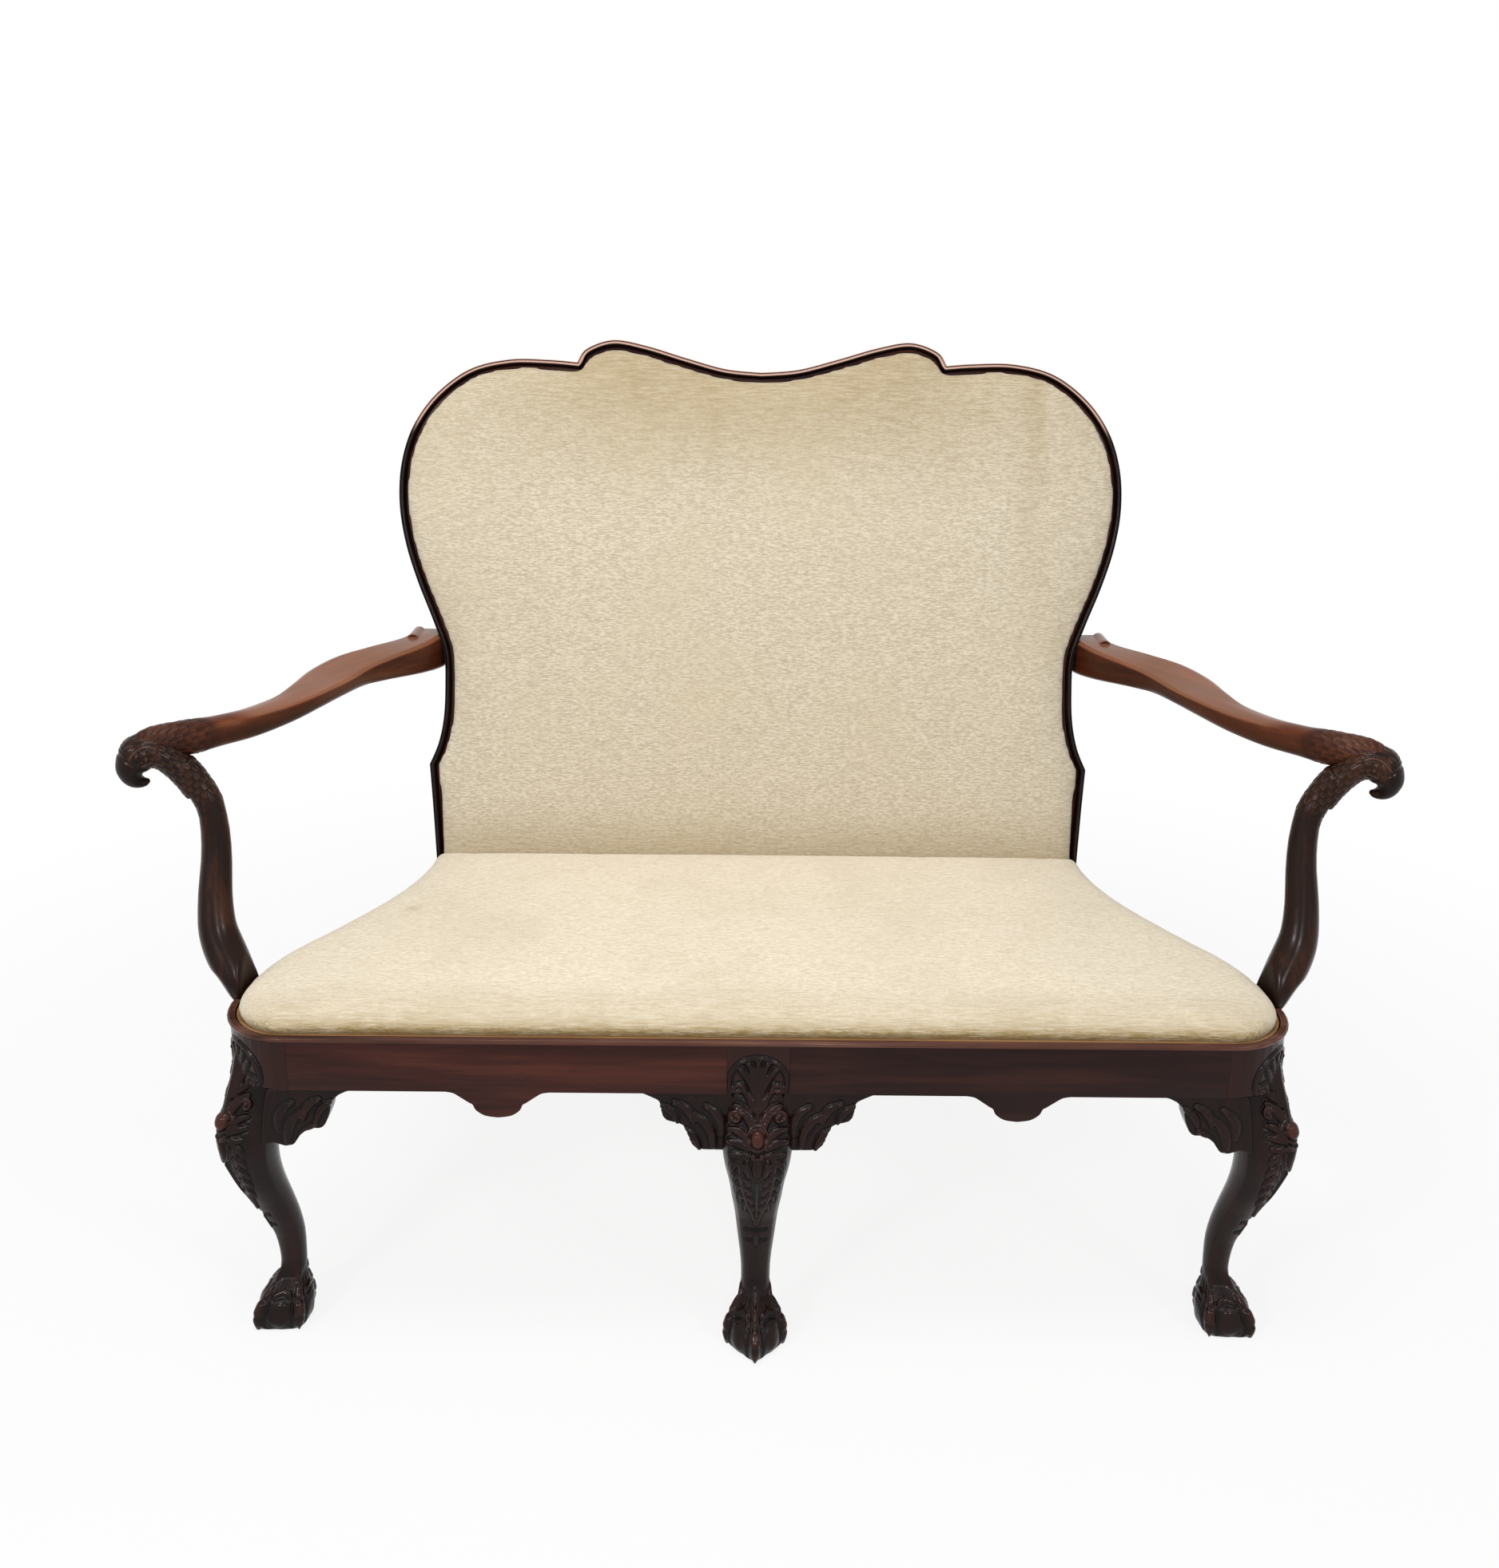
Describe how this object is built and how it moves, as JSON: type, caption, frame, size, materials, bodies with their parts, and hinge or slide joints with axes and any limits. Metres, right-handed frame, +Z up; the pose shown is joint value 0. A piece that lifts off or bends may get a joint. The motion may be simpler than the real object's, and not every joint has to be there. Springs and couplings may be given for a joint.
{
  "type": "cabriole sofa",
  "caption": "Two-seat settee with a cartouche-shaped upholstered back, eagle-headed arm supports, cabriole legs on claw feet and a lift-out seat.",
  "frame": {"origin": "centre of the bounding box on the floor", "axes": "+Z up, -Y towards the person in front of the settee, +X to the sitter's left (the viewer's right)"},
  "size_m": [1.508, 0.747, 1.1469],
  "materials": {
    "dark_mahogany": "polished",
    "arm_mahogany": "polished",
    "frame_wood": "matte",
    "jute_cloth": "matte",
    "pale_chenille": "matte",
    "steel": "satin"
  },
  "bodies": {
    "frame": {"front_rail_left": "dark_mahogany", "front_rail_right": "dark_mahogany", "side_rail_left": "dark_mahogany", "side_rail_right": "dark_mahogany", "rear_rail": "dark_mahogany", "medial_rail": "frame_wood", "lip_front": "arm_mahogany", "lip_corner_left": "arm_mahogany", "lip_corner_right": "arm_mahogany", "lip_side_left": "arm_mahogany", "lip_side_right": "arm_mahogany", "front_leg_left": "dark_mahogany", "front_leg_right": "dark_mahogany", "front_leg_centre": "dark_mahogany", "ear_centre_left": "dark_mahogany", "ear_centre_right": "dark_mahogany", "ear_front_left": "dark_mahogany", "ear_front_right": "dark_mahogany", "ear_side_left": "dark_mahogany", "ear_side_right": "dark_mahogany", "front_corner_blocks": "frame_wood", "rear_corner_blocks": "frame_wood", "rear_post_left": "dark_mahogany", "rear_post_right": "dark_mahogany", "rear_leg_centre": "dark_mahogany", "crest_rail": "dark_mahogany", "lower_back_rail": "frame_wood", "back_muntin": "frame_wood", "crest_bead": "arm_mahogany", "stile_bead_left": "arm_mahogany", "stile_bead_right": "arm_mahogany", "arm_left": "arm_mahogany", "arm_right": "arm_mahogany", "arm_support_left": "arm_mahogany", "arm_support_right": "arm_mahogany", "arm_dowels": "frame_wood", "crest_dowels": "frame_wood", "support_screws": "steel", "block_screws": "steel", "back_webbing": "jute_cloth", "back_hessian": "jute_cloth", "back_pad": "pale_chenille", "back_cloth": "pale_chenille"},
    "drop_in_seat": {"slip_rail_front": "frame_wood", "slip_rail_rear": "frame_wood", "slip_rail_left": "frame_wood", "slip_rail_right": "frame_wood", "slip_bar": "frame_wood", "seat_webbing": "jute_cloth", "seat_hessian": "jute_cloth", "seat_pad": "pale_chenille", "dust_cloth": "jute_cloth", "seat_tacks": "steel"}
  },
  "joints": [
    {"name": "seat_lift", "type": "slide", "parent": "frame", "child": "drop_in_seat", "axis": [0, 0, 1], "range_m": [0, 0.12]}
  ]
}
